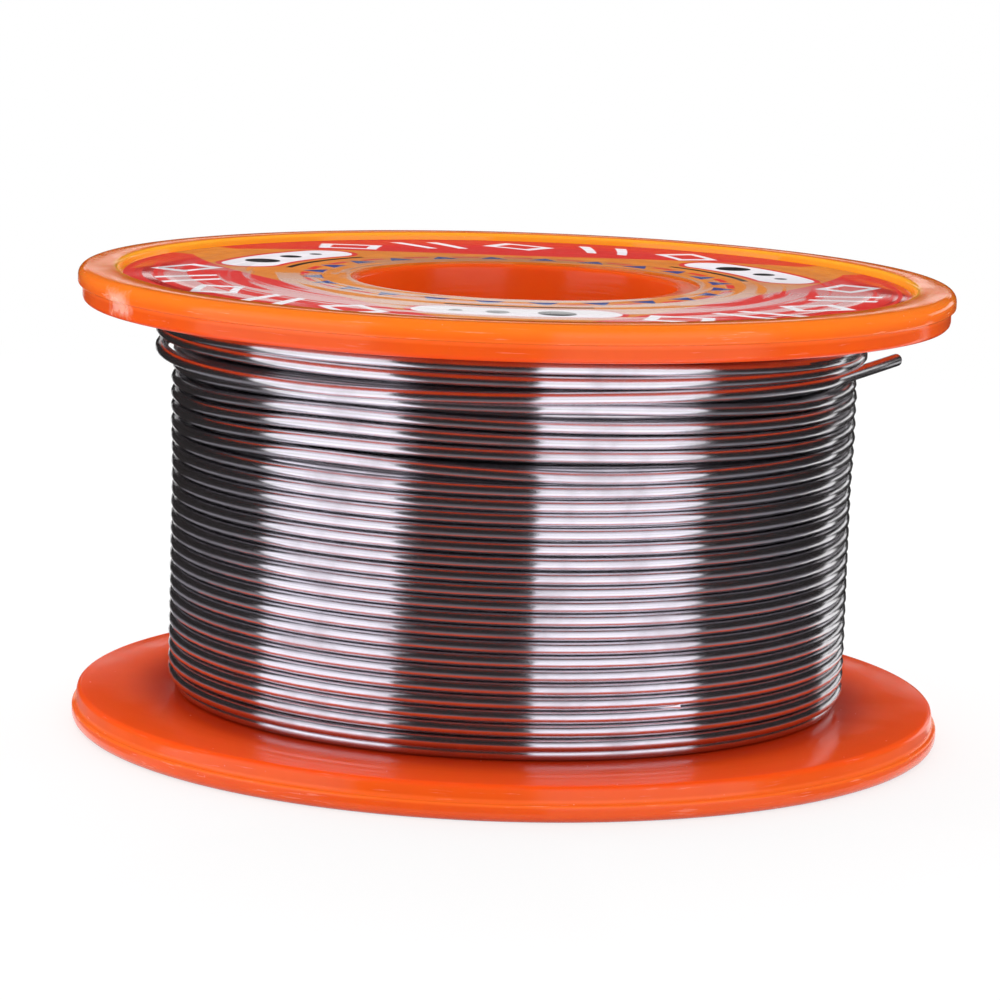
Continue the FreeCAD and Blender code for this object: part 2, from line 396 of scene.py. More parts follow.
def makeOrangePlastic(finish, zones):
    material, tree, shader = newMaterial("orangePlastic")
    place, x, y, z, radius, angle = objectPlace(tree)
    grain = useGroup(tree, grainGroup, Place=place, Size=1.0)
    dust = useGroup(tree, dustGroup, Place=place, Size=2.4, Amount=finish["dustShare"])["Mask"]
    scuffs = useGroup(tree, wearGroup, Place=place, Radius=radius, Angle=angle, Height=z,
                      Edge=flangeRadius / mm, Reach=0.7)["Mask"]
    fromMiddle = calc(tree, "ABSOLUTE", calc(tree, "SUBTRACT", z, spoolHeight / mm / 2))
    onBead = ramp(tree, radius, *zones["beadRadii"])
    onRim = ramp(tree, radius, *zones["rimRadii"])
    # painted light on the top of the bead
    glow = product(tree, ramp(tree, z, *zones["beadHeights"]), onBead)
    # painted light on the wall of the bead, towards the label
    wallPaintedLight = product(tree, glow, ramp(tree, radius, *zones["beadWallRadii"], 1.0, 0.0))
    # painted shade along the foot of the lower rim
    footShade = product(tree, ramp(tree, z, *zones["footHeights"], 1.0, 0.0), onBead)
    # painted shade on the faces towards the winding
    wireSide = product(tree, ramp(tree, fromMiddle, *zones["wireSideHeights"], 1.0, 0.0),
                       ramp(tree, radius, *zones["wireSideRadii"]))
    # painted shade, darkest next to the wire
    nearWireShade = product(tree, wireSide, ramp(tree, radius, *zones["nearWireRadii"], 1.0, 0.0))
    # moulding marks: the gate and the ends of the parting line
    gateX = product(tree, calc(tree, "SUBTRACT", angle, finish["gateAngle"]), 0.26)
    gateX = calc(tree, "ABSOLUTE", gateX)
    gateZ = calc(tree, "ABSOLUTE", calc(tree, "SUBTRACT", z, zones["gateHeight"]))
    ragged = calc(tree, "MULTIPLY_ADD", noise(tree, place, 2.2, 3.0), 0.9, -0.45)
    gateReach = calc(tree, "ADD", calc(tree, "MAXIMUM", gateX, gateZ), ragged)
    gate = product(tree, ramp(tree, gateReach, *zones["gateReach"], 1.0, 0.0), onRim)
    sideways = calc(tree, "ABSOLUTE", calc(tree, "SINE", product(tree, angle, math.pi / 180)))
    seam = calc(tree, "ABSOLUTE", calc(tree, "SUBTRACT", fromMiddle, zones["seamHeight"]))
    seam = product(tree, ramp(tree, seam, *zones["seamReach"], 1.0, 0.0), onRim)
    parting = product(tree, seam, ramp(tree, sideways, 0.05, 0.13, 1.0, 0.0))
    marks = calc(tree, "MAXIMUM", product(tree, gate, 0.6), product(tree, parting, 0.45))
    cloud = ramp(tree, grain["Cloud"], 0.3, 0.7)
    colour = mixColour(tree, product(tree, cloud, 0.16), finish["colour"], finish["darkColour"])
    # painted light on the bead, painted shade towards the winding and along the foot
    colour = mixColour(tree, product(tree, glow, 0.7), colour, finish["paintedGlowColour"])
    colour = mixColour(tree, wallPaintedLight, colour, finish["paintedWallLightColour"])
    colour = mixColour(tree, product(tree, wireSide, 0.85), colour, finish["wireSideShadeColour"])
    colour = mixColour(tree, product(tree, nearWireShade, 0.8), colour, finish["nearWireShadeColour"])
    colour = mixColour(tree, product(tree, footShade, 0.35), colour, finish["darkColour"])
    # painted shade inside the bore
    bore = ramp(tree, radius, *zones["boreRadii"], 1.0, 0.0)
    colour = mixColour(tree, product(tree, bore, 0.20), colour, finish["darkColour"])
    # painted light over the step on the rim
    colour = mixColour(tree, product(tree, seam, 0.5), colour, finish["paintedSeamLightColour"])
    colour = mixColour(tree, marks, colour, finish["scuffColour"])
    colour = mixColour(tree, product(tree, scuffs, 0.15), colour, finish["scuffColour"])
    dust = product(tree, dust, calc(tree, "SUBTRACT", 1.0, bore))
    colour = mixColour(tree, product(tree, dust, 0.45), colour, finish["dustColour"])
    rough = calc(tree, "MULTIPLY_ADD", cloud, 0.10, finish["roughness"] - 0.05)
    rough = calc(tree, "MULTIPLY_ADD", glow, -0.09, rough)             # the bead is polished
    rough = calc(tree, "MULTIPLY_ADD", calc(tree, "MAXIMUM", scuffs, marks), 0.25, rough)
    rough = calc(tree, "MULTIPLY_ADD", dust, 0.3, rough, clamp=True)
    drawnOut = combine(tree, product(tree, radius, 1.2), product(tree, angle, 0.03),
                       product(tree, z, 3.2))
    streaks = noise(tree, drawnOut, 1.0, 2.0)
    height = calc(tree, "ADD", product(tree, grain["Height"], 0.6), streaks)
    height = calc(tree, "ADD", height, product(tree, marks, 3.0))
    setSockets(tree, shader, Base_Color=colour, Roughness=rough, IOR=1.47, Specular_IOR_Level=0.38,
               Subsurface_Weight=0.35, Subsurface_Radius=(1.0, 0.35, 0.08), Subsurface_Scale=1.2 * mm,
               Normal=bump(tree, height, 0.22, 0.05 * mm))
    return material


orangePlastic = makeOrangePlastic(orangeFinishAndPaintedLight, orangeZones)
print("orange plastic made")


# flanges

flangeShape = {
    "sides": 192,
    "stepDepth": 0.3 * mm,
    "bandHeight": 1.1 * mm,
    "beadWidth": 2.5 * mm,
    "recessDepth": 0.55 * mm,
    "cornerRadius": 0.6 * mm,
    "beadRounding": 0.25 * mm,
    "wireSideRounding": 0.35 * mm,
    "seamRounding": 0.145 * mm,
    "holeRadius": 11.0 * mm,
    "recessRings": (21.0 * mm, 16.0 * mm),            # edge loops between the bead and the hole
    "wireSideRings": (24.0 * mm, 20.5 * mm, 15.5 * mm),
}


def makeUpperFlange(shape):
    innerRadius = flangeRadius - shape["stepDepth"]
    stepHeight = spoolHeight - shape["bandHeight"]
    beadInner = flangeRadius - shape["beadWidth"]
    recessFloor = spoolHeight - shape["recessDepth"]
    flange = addCylinder("upper_flange_body", innerRadius, upperFace, stepHeight, shape["sides"])
    editPiece(flange)
    pickFaces(lambda centre, normal: normal.z > 0.9)
    bpy.ops.mesh.extrude_region_move(TRANSFORM_OT_translate={"value": (0, 0, 0)})
    grow = flangeRadius / innerRadius
    bpy.ops.transform.resize(value=(grow, grow, 1), center_override=(0, 0, stepHeight))
    bpy.ops.mesh.extrude_region_move(TRANSFORM_OT_translate={"value": (0, 0, shape["bandHeight"])})
    bpy.ops.mesh.inset(thickness=shape["beadWidth"])
    bpy.ops.mesh.extrude_region_move(TRANSFORM_OT_translate={"value": (0, 0, -shape["recessDepth"])})
    last = beadInner
    for radius in (*shape["recessRings"], shape["holeRadius"]):
        bpy.ops.mesh.inset(thickness=last - radius)
        last = radius
    pickFaces(lambda centre, normal: normal.z < -0.9 and abs(centre.z - upperFace) < 0.01 * mm)
    last = innerRadius
    for radius in (*shape["wireSideRings"], shape["holeRadius"]):
        bpy.ops.mesh.inset(thickness=last - radius)
        last = radius
    pickFaces(lambda centre, normal: abs(normal.z) > 0.9 and centre.xy.length < 1 * mm)
    bridgeLoops()
    bevelRing(flangeRadius, spoolHeight, shape["cornerRadius"], 6)
    bevelRing(beadInner, spoolHeight, shape["beadRounding"], 4)
    bevelRing(innerRadius, upperFace, shape["wireSideRounding"], 3)
    bevelRing(flangeRadius, stepHeight, shape["seamRounding"], 3)
    bevelRing(innerRadius, stepHeight, shape["seamRounding"], 3)
    bevelRing(beadInner, recessFloor, shape["seamRounding"] / 2, 2)
    endPiece(flange)
    return flange


upperFlange = makeUpperFlange(flangeShape)
lowerFlange = copyPiece(upperFlange, "lower_flange_body")
turnOver(lowerFlange)
for flange, node in ((upperFlange, "upper_flange"), (lowerFlange, "lower_flange")):
    paint(flange, orangePlastic)
    placed(flange, "orange_plastic", node)
print("flanges made")


# hub

hubShape = {
    "sides": 128,
    "boreRadius": 10.0 * mm,
    "tubeRadius": 11.0 * mm,
    "edgeRounding": 0.3 * mm,
    "barrelWall": 1.2 * mm,
    "barrelSeat": 0.5 * mm,       # how far the barrel goes into each flange
    "ribCount": 6,
    "ribThickness": 1.2 * mm,
    "ribOverlap": 0.4 * mm,       # into the tube and the barrel together
}


def makeSleeve(name, outer, inner, bottom, top, sides):
    sleeve = addCylinder(name, outer, bottom, top, sides)
    editPiece(sleeve)
    pickFaces(lambda centre, normal: abs(normal.z) > 0.9)
    bpy.ops.mesh.inset(thickness=outer - inner)
    pickFaces(lambda centre, normal: abs(normal.z) > 0.9 and centre.xy.length < 0.1 * mm)
    bridgeLoops()
    return sleeve


def makeHub(shape):
    sides = shape["sides"]
    tubeBottom = spoolHeight - tubeTop
    tube = makeSleeve("hub_body", shape["tubeRadius"], shape["boreRadius"], tubeBottom, tubeTop, sides)
    for height in (tubeBottom, tubeTop):
        bevelRing(shape["boreRadius"], height, shape["edgeRounding"], 4)
    endPiece(tube)
    barrelBottom = lowerFace - shape["barrelSeat"]
    barrelTop = spoolHeight - barrelBottom
    barrelInner = barrelRadius - shape["barrelWall"]
    barrel = makeSleeve("barrel", barrelRadius, barrelInner, barrelBottom, barrelTop, sides)
    endPiece(barrel)
    parts = [barrel]
    reach = barrelInner - shape["tubeRadius"]
    ribPlace = (shape["tubeRadius"] + reach / 2, 0, spoolHeight / 2)
    for i in range(shape["ribCount"]):
        deselectAll()
        bpy.ops.mesh.primitive_cube_add(size=1, location=ribPlace)
        rib = bpy.context.object
        rib.scale = (reach + shape["ribOverlap"], shape["ribThickness"], upperFace - lowerFace)
        bpy.ops.object.transform_apply(location=True, rotation=True, scale=True)
        editPiece(rib, "SELECT")
        bpy.ops.transform.rotate(value=i * 2 * math.pi / shape["ribCount"], orient_axis="Z",
                                 center_override=(0, 0, 0))
        bpy.ops.object.mode_set(mode="OBJECT")
        parts.append(rib)
    deselectAll()
    for part in parts:
        part.select_set(True)
    tube.select_set(True)
    bpy.context.view_layer.objects.active = tube
    bpy.ops.object.join()
    return tube


hub = makeHub(hubShape)
paint(hub, orangePlastic)
placed(hub, "orange_plastic", "hub")
print("hub made")


# labels

labelShape = {
    "sides": 128,
    "thickness": 0.12 * mm,
    "holeRadius": 11.0 * mm,
    "holeShift": 0.5 * mm,
    "edgeRounding": 0.03 * mm,
    "edgeLoop": 3.0 * mm,         # in from the outer edge
}

labelInks = {
    "amber": (0.66, 0.205, 0.018, 1),
    "amberDeep": (0.54, 0.138, 0.011, 1),
    "red": (0.62, 0.017, 0.014, 1),
    "white": (0.76, 0.72, 0.76, 1),
    "blue": (0.020, 0.045, 0.23, 1),
    "black": (0.012, 0.011, 0.013, 1),
}

# print on the label: millimetres from the axis, degrees round it
labelDesign = {
    "redCentre": 90,
    "redSpread": 54.0,            # half the length of a crescent
    "redInnerRadius": 15.0,
    "redTaper": 8.2,              # how much further out its inner edge lies at the tips
    "markPace": 16.4,             # from one white mark to the next
    "markSpread": 41.0,
    "markRadius": 20.9,
    "fieldCentre": 30,
    "fieldRadius": 17.8,
    "fieldLength": 4.4,           # half of its straight part
    "fieldReach": 1.85,
    "fieldBorderReach": 2.25,
    "dots": ((-3.6, 0.42), (-1.1, 0.72), (2.4, 1.15)),        # (place, radius) along the field
    "barRadius": 14.9,
    "barReach": (5.4, 0.22),
    "wedgePace": 15.0,
    "wedgeRadii": (12.3, 13.7),
    "tickRadii": (13.15, 13.65),
}


def makeUpperLabel(shape):
    labelBottom = labelTop - shape["thickness"]
    label = addCylinder("upper_label_print", labelRadius, labelBottom, labelTop, shape["sides"])
    editPiece(label)
    pickFaces(lambda centre, normal: abs(normal.z) > 0.9)
    bpy.ops.mesh.inset(thickness=shape["edgeLoop"])
    bpy.ops.mesh.inset(thickness=labelRadius - shape["edgeLoop"] - shape["holeRadius"])
    pickFaces(lambda centre, normal: abs(normal.z) > 0.9 and centre.xy.length < 1 * mm)
    bpy.ops.transform.translate(value=(shape["holeShift"], 0, 0))
    bridgeLoops()
    bevelRing(labelRadius, labelTop, shape["edgeRounding"], 2)
    endPiece(label)
    return label


def makeLabelPrint(inks, design):
    material, tree, shader = newMaterial("labelPrint")
    place, x, y, z, radius, angle = objectPlace(tree)

    def third(centreAngle):
        # signed angle from the nearest of three centres, a third of a turn apart
        shifted = calc(tree, "ADD", angle, 60 - centreAngle + 720)
        return calc(tree, "SUBTRACT", calc(tree, "MODULO", shifted, 120.0), 60.0)

    def inside(value, limit, soft=0.05):
        # 1 where value is under limit
        low, high = calc(tree, "SUBTRACT", limit, soft), calc(tree, "ADD", limit, soft)
        return ramp(tree, value, low, high, 1.0, 0.0)

    def both(*masks):
        made = masks[0]
        for mask in masks[1:]:
            made = product(tree, made, mask)
        return made

    def absolute(value):
        return calc(tree, "ABSOLUTE", value)

    def minus(a, b):
        return calc(tree, "SUBTRACT", a, b)

    def times(a, b):
        return product(tree, a, b)

    def band(low, high):
        return inside(absolute(minus(radius, (low + high) / 2)), (high - low) / 2)

    def distance(a, b):
        return calc(tree, "SQRT", calc(tree, "ADD", times(a, a), times(b, b)))

    def everyStep(pace, start=720.0):
        # signed angle from the middle of a step of pace degrees
        return minus(calc(tree, "MODULO", calc(tree, "ADD", angle, start), pace), pace / 2)

    # ground, slightly clouded
    cloud = ramp(tree, noise(tree, place, 0.5, 3.0), 0.35, 0.65)
    colour = mixColour(tree, times(cloud, 0.5), inks["amber"], inks["amberDeep"])

    # three red crescents with a row of white marks
    fromRed = third(design["redCentre"])
    redTurn = calc(tree, "DIVIDE", absolute(fromRed), design["redSpread"])
    innerEdge = calc(tree, "MULTIPLY_ADD", times(redTurn, redTurn), design["redTaper"],
                     design["redInnerRadius"])
    red = both(inside(innerEdge, radius), inside(absolute(fromRed), design["redSpread"], 0.3))
    colour = mixColour(tree, red, colour, inks["red"])
    pace = design["markPace"]
    along = calc(tree, "ADD", fromRed, pace * 4.5)
    steps = minus(calc(tree, "MODULO", along, pace), pace / 2)
    odd = calc(tree, "GREATER_THAN", calc(tree, "MODULO", along, pace * 2), pace)
    across = times(steps, 0.36)                               # mm along the row, near its middle radius
    up = minus(radius, design["markRadius"])
    slanted = minus(across, times(up, 0.35))
    diamond = calc(tree, "ADD", times(absolute(slanted), 0.46), times(absolute(up), 0.50))
    hollow = both(inside(diamond, 1.12), minus(1.0, inside(diamond, 0.70)))
    bars = both(inside(absolute(minus(absolute(slanted), 1.15)), 0.36), inside(absolute(up), 2.0))
    markShape = mixColour(tree, odd, hollow, bars)
    row = inside(absolute(fromRed), design["markSpread"], 0.3)
    colour = mixColour(tree, both(markShape, row), colour, inks["white"])

    # three white fields with graded dots, for wire thickness
    fieldX = times(third(design["fieldCentre"]), design["fieldRadius"] * math.pi / 180)
    fieldY = minus(radius, design["fieldRadius"])
    beyond = calc(tree, "MAXIMUM", minus(absolute(fieldX), design["fieldLength"]), 0.0)
    field = distance(beyond, fieldY)
    colour = mixColour(tree, inside(field, design["fieldBorderReach"]), colour, inks["red"])
    colour = mixColour(tree, inside(field, design["fieldReach"]), colour, inks["white"])
    for spot, size in design["dots"]:
        away = distance(minus(fieldX, spot), fieldY)
        colour = mixColour(tree, inside(away, size), colour, inks["black"])
    barLength, barWidth = design["barReach"]
    bar = both(inside(absolute(minus(fieldX, 0.2)), barLength),
               inside(absolute(minus(radius, design["barRadius"])), barWidth))
    colour = mixColour(tree, bar, colour, inks["black"])

    # blue wedges round the hole, red ticks outside them
    wedgeX = absolute(times(everyStep(design["wedgePace"]), 0.235))
    slope = calc(tree, "MULTIPLY_ADD", minus(radius, design["wedgeRadii"][0]), -0.72, 1.05)
    wedges = both(inside(wedgeX, slope), band(*design["wedgeRadii"]))
    colour = mixColour(tree, wedges, colour, inks["blue"])
    tickX = absolute(times(everyStep(design["wedgePace"], 727.5), 0.24))
    ticks = both(inside(tickX, 0.95), band(*design["tickRadii"]))
    colour = mixColour(tree, ticks, colour, inks["red"])

    # film over the print, not quite flat, so its gloss comes and goes in streaks round the axis
    drawnOut = combine(tree, times(radius, 0.75), times(angle, 0.014), 0.0)
    waves = noise(tree, drawnOut, 1.0, 3.0, 0.55, 0.6)
    gloss = ramp(tree, waves, 0.45, 0.53, 0.06, 1.0)
    byHole = ramp(tree, radius, 12.0, 15.5, 1.0, 0.0)
    frontward = calc(tree, "MAXIMUM", ramp(tree, y, -6.0, 9.0, 1.0, 0.12), times(byHole, 0.8))
    rough = calc(tree, "MULTIPLY_ADD", noise(tree, place, 2.0, 3.0), 0.2, 0.35)
    relief = calc(tree, "ADD", waves, times(noise(tree, place, 3.0), 0.05))
    setSockets(tree, shader, Base_Color=colour, Roughness=rough, Specular_IOR_Level=0.10,
               Coat_Weight=times(gloss, frontward), Coat_Roughness=0.06, Coat_IOR=1.7,
               Normal=bump(tree, relief, 0.10, 0.2 * mm))
    return material


labelPrint = makeLabelPrint(labelInks, labelDesign)
upperLabel = makeUpperLabel(labelShape)
lowerLabel = copyPiece(upperLabel, "lower_label_print")
turnOver(lowerLabel)
for label, node in ((upperLabel, "upper_label"), (lowerLabel, "lower_label")):
    paint(label, labelPrint)
    placed(label, "label_film", node)
print("labels made")


# solder wire

solderFinish = {
    "colour": (0.74, 0.725, 0.755, 1),
    "tarnish": (0.42, 0.38, 0.40, 1),
    "roughness": 0.18,
    "drawn": 0.95,                # how much further the drawing lines spread light across the wire
}

windingShape = {
    "wireDiameter": 0.8 * mm,
    "fluxDiameter": 0.3 * mm,
    "layers": 8,
    "turnsPerLayer": 28,
    "layerRise": 0.74 * mm,
    "anchorDepth": 1.2 * mm,      # from the upper flange down to the anchor hole
    "innerPointsPerTurn": 12,
    "outerPointsPerTurn": 24,
    "leadTurns": 2.5,             # of the layer below, hidden under the outer one
    "outerTurns": 27,             # of the outer layer, above the one sunk by the flange
    "looseTurns": 3,              # wound back over its top
    "stepsShort": 10,             # of a whole number of turns, so that the climb lies at the back
    "sunkDepth": 0.39 * mm,       # lowest outer turn lies in the corner by the flange
    "climbHeight": 0.65 * mm,     # from it up to the next one, at the back
    "climbTurns": 0.16,
    "climbHump": 0.26 * mm,       # outward, where it climbs
    "humpTurn": 0.93,
    "humpSpread": 0.05,
    "leadRise": 0.80 * mm,        # of the layer below, over the sunk turn
    "leadPitch": 0.84 * mm,
    "swell": 0.10 * mm,           # of the outer layer, in its upper part
    "swellTurns": (16.0, 21.0, 24.3, 25.0),       # where the swell starts, is full, fades and ends
    "radialWander": 0.015 * mm,
    "looseGap": 0.50 * mm,        # from the outer layer's face to the middle of the loose turns
    "looseSettle": 0.2 * mm,      # how much closer they start
    "looseShift": 0.24 * mm,      # their slack, to the left
    "endAngle": -23.0,            # where the free end leaves, in degrees
    "endHeight": 23.95 * mm,
}

# turns lie level across the front and step on at the back: heights in millimetres at these angles,
# with the turns between two rows spaced evenly
frontAngles = (-155, -120, -75, -35)
turnHeights = [
    (1, (3.25, 3.22, 3.20, 3.20)),
    (2, (4.12, 4.10, 4.05, 4.05)),
    (13, (13.18, 13.24, 13.17, 13.15)),
    (17, (16.60, 16.70, 16.66, 16.62)),
    (18, (17.46, 17.53, 17.45, 17.47)),
    (19, (18.32, 18.41, 18.31, 18.30)),
    (20, (19.15, 19.62, 19.11, 19.19)),
    (21, (20.10, 20.52, 20.40, 20.07)),
    (22, (20.95, 21.48, 21.22, 20.93)),
    (23, (21.88, 22.38, 22.12, 21.76)),
    (24, (22.90, 23.22, 23.26, 22.60)),
    (25, (23.70, 23.85, 24.00, 23.80)),
    (26, (24.80, 24.90, 24.82, 24.70)),
    (27, (25.45, 25.70, 25.70, 25.25)),
    (28, (25.45, 25.70, 25.68, 25.15)),
    (29, (24.95, 24.92, 24.84, 24.66)),
    (30, (23.70, 23.68, 24.00, 23.96)),
]

# free end from where it leaves the last turn: along it, outward and up, in millimetres
freeEndSteps = [(0.0, 0.0, 0.0), (2.6, 0.0, 0.0), (5.1, 0.03, 0.0), (7.5, 0.1, 0.02), (9.8, 0.25, 0.08)]

# inner end from the barrel at the anchor hole: sideways, inward and down, in millimetres
innerEndSteps = [(0.0, 0.2, 0.0), (0.0, 2.45, 0.0), (1.9, 3.55, 0.1), (4.0, 3.5, 0.35)]


def makeSolder(finish):
    material, tree, shader = newMaterial("solderMetal")
    place, x, y, z, radius, angle = objectPlace(tree)
    drawnOut = combine(tree, product(tree, radius, 7.0), product(tree, angle, 0.05),
                       product(tree, z, 7.0))
    lines = noise(tree, drawnOut, 1.0)
    blotch = ramp(tree, noise(tree, place, 0.35, 3.0), 0.45, 0.75)
    tarnish = product(tree, blotch, 0.35)
    colour = mixColour(tree, tarnish, finish["colour"], finish["tarnish"])
    rough = calc(tree, "MULTIPLY_ADD", lines, 0.10, finish["roughness"] - 0.04)
    rough = calc(tree, "MULTIPLY_ADD", blotch, 0.06, rough)
    around = combine(tree, product(tree, y, -1.0), x, 0.0)
    setSockets(tree, shader, Base_Color=colour, Roughness=rough, Metallic=1.0, Tangent=around,
               Anisotropic=finish["drawn"], Anisotropic_Rotation=0.25,
               Normal=bump(tree, lines, 0.05, 0.03 * mm))
    return material


solderMetal = makeSolder(solderFinish)


def onCircle(radius, degrees, height, pointsPerTurn, shift=0.0):
    # control point of a round turn: a little outside the circle, so that the smooth line lies on it
    out = radius / math.cos(math.pi / pointsPerTurn)
    turn = math.radians(degrees)
    return Vector((out * math.cos(turn) - shift, out * math.sin(turn), height))


def wander(rng, waves):
    # slow drift along the wire, as (turns per cycle, phase) pairs
    return [(rng.uniform(0.6, 2.6), rng.uniform(0, 2 * math.pi)) for i in range(waves)]


def drift(pairs, turn):
    return sum(math.sin(2 * math.pi * turn / length + phase) for length, phase in pairs) / len(pairs)


def innerWirePoints(shape):
    points = []
    wireRadius = shape["wireDiameter"] / 2
    anchor = Vector((0, barrelRadius, upperFace - shape["anchorDepth"]))
    for side, inward, down in reversed(innerEndSteps):
        points.append(anchor + Vector((side * mm, -inward * mm, -down * mm)))
    perTurn = shape["innerPointsPerTurn"]
    top = upperFace - wireRadius
    bottom = lowerFace + wireRadius
    steps = shape["turnsPerLayer"] * perTurn
    # the last layer stops where the outer wire takes over
    outerLead = outerPoints[0]
    endAngle = math.degrees(math.atan2(outerLead.y, outerLead.x))
    lastLayer = shape["layers"] - 2
    total = (lastLayer + 1) * steps - round(shape["leadTurns"] * perTurn) - 1
    startAngle = endAngle - (total - 1) * 360 / perTurn
    for step in range(total):
        layer, i = divmod(step, steps)
        share = i / steps
        radius = barrelRadius + wireRadius + shape["layerRise"] * layer
        if layer < lastLayer:
            low = bottom
            # the last half turn of a layer climbs on to the next
            climb = max(0.0, share * shape["turnsPerLayer"] - shape["turnsPerLayer"] + 0.5) / 0.5
            radius += climb * shape["layerRise"]
        else:
            low = outerLead.z
            share = i / (total - 1 - lastLayer * steps)
        height = top - (top - low) * share if layer % 2 == 0 else bottom + (top - bottom) * share
        points.append(onCircle(radius, startAngle + step * 360 / perTurn, height, perTurn))
    return points


def between(value, start, end):
    # 0 before start, 1 after end, eased in the middle
    share = min(1.0, max(0.0, (value - start) / (end - start)))
    return share * share * (3 - 2 * share)


def turnSteps():
    # heights along the outer wire, as (degrees, height) pairs; the free end leaves the last turn
    steps = []
    for (turn, heights), (nextTurn, nextHeights) in zip(turnHeights, turnHeights[1:] + turnHeights[-1:]):
        for extra in range(max(1, nextTurn - turn)):
            share = extra / max(1, nextTurn - turn)
            for angle, low, high in zip(frontAngles, heights, nextHeights):
                degrees = angle + (turn + extra - turnHeights[-1][0]) * 360
                steps.append((degrees, (low + (high - low) * share) * mm))
    return steps


def heightAt(steps, degrees):
    if degrees <= steps[0][0]:
        return steps[0][1]
    for (startAt, startHeight), (endAt, endHeight) in zip(steps, steps[1:]):
        if degrees <= endAt:
            return startHeight + (endHeight - startHeight) * (degrees - startAt) / (endAt - startAt)
    return steps[-1][1]


def outerWirePoints(shape):
    rng = random.Random(11)
    radialDrift = wander(rng, 4)
    perTurn = shape["outerPointsPerTurn"]
    wireRadius = shape["wireDiameter"] / 2
    layerRadius = packRadius - wireRadius
    looseRadius = packRadius + shape["looseGap"]
    floorHeight = lowerFace + wireRadius
    ceiling = upperFace - wireRadius - 0.02 * mm
    climbTurns = shape["climbTurns"]
    swellStart, swellFull, swellFades, swellEnd = shape["swellTurns"]
    steps = turnSteps()
    loopEnd = shape["endAngle"] - 180 / perTurn
    leadSteps = round(shape["leadTurns"] * perTurn)
    layerSteps = (shape["outerTurns"] + 1) * perTurn - shape["stepsShort"]
    looseSteps = shape["looseTurns"] * perTurn
    layerEnd = layerSteps / perTurn
    points = []
    for i in range(-leadSteps, layerSteps):
        turn = i / perTurn
        degrees = loopEnd + (i - layerSteps - looseSteps) * 360 / perTurn
        # down the layer below, round the corner by the flange, then up on to this layer
        drop = between(turn, -climbTurns, 0.0)
        climb = between(turn, 1.0 - climbTurns, 1.0)
        r = layerRadius - shape["layerRise"] + drop * (shape["layerRise"] - shape["sunkDepth"])
        hump = math.exp(-((turn - shape["humpTurn"]) / shape["humpSpread"]) ** 2)
        r += climb * shape["sunkDepth"] + shape["climbHump"] * hump
        swollen = between(turn, swellStart, swellFull) * (1 - between(turn, swellFades, swellEnd))
        r += shape["swell"] * swollen
        outward = looseRadius - layerRadius - shape["looseSettle"]
        r += between(turn, layerEnd - 0.5, layerEnd) * outward
        r += shape["radialWander"] * drift(radialDrift, turn) * between(turn, 1.0, 1.5)
        if turn < 1.0:
            before = max(0.0, -climbTurns - turn)
            z = floorHeight + (1 - drop) * (shape["leadRise"] + shape["leadPitch"] * before)
            z += climb * shape["climbHeight"]
        else:
            z = heightAt(steps, degrees)
        points.append(onCircle(r, degrees, min(z, ceiling), perTurn))
    for i in range(looseSteps + 1):
        degrees = loopEnd + (i - looseSteps) * 360 / perTurn
        ease = between(i, 0, 10)
        r = looseRadius - shape["looseSettle"] * (1 - ease)
        z = min(heightAt(steps, degrees), ceiling)
        points.append(onCircle(r, degrees, z, perTurn, shape["looseShift"] * ease))
    return points


def freeEndPoints(shape):
    angle = math.radians(shape["endAngle"])
    outward = Vector((math.cos(angle), math.sin(angle), 0))
    forward = Vector((-math.sin(angle), math.cos(angle), 0))
    start = Vector((-shape["looseShift"], 0, shape["endHeight"]))
    start += outward * (packRadius + shape["looseGap"])
    return [start + (forward * along + outward * out + Vector((0, 0, up))) * mm
            for along, out, up in freeEndSteps]


def makeWire(name, points, diameter, resolution, bevelSteps):
    curve = bpy.data.curves.new(name, "CURVE")
    curve.dimensions = "3D"
    curve.resolution_u = resolution
    curve.bevel_depth = diameter / 2
    curve.bevel_resolution = bevelSteps
    curve.use_fill_caps = True
    spline = curve.splines.new("NURBS")
    spline.points.add(len(points) - 1)
    for target, point in zip(spline.points, points):
        target.co = (*point, 1)
    spline.order_u = 3
    spline.use_endpoint_u = True
    spline.use_smooth = True
    wire = bpy.data.objects.new(name, curve)
    bpy.context.scene.collection.objects.link(wire)
    return wire


outerPoints = outerWirePoints(windingShape) + freeEndPoints(windingShape)
outerWire = makeWire("outer_wire", outerPoints, windingShape["wireDiameter"], 3, 5)
paint(outerWire, solderMetal)
placed(outerWire, "solder", "wire_outer_layer", "wire_upper_turns", "wire_last_turn", "wire_free_end")

innerPoints = innerWirePoints(windingShape)
innerWire = makeWire("inner_wire", innerPoints, windingShape["wireDiameter"], 3, 1)
paint(innerWire, solderMetal)
placed(innerWire, "solder", "wire_start", "wire_inner_layers")


# flux in the cut end

fluxFinish = {
    "colour": (0.55, 0.30, 0.08, 1),
    "darkColour": (0.33, 0.15, 0.035, 1),
    "length": 0.5 * mm,
    "standsOut": 0.015 * mm,      # beyond the cut
    "chamfer": 0.06 * mm,
    "bulge": 0.012 * mm,
}


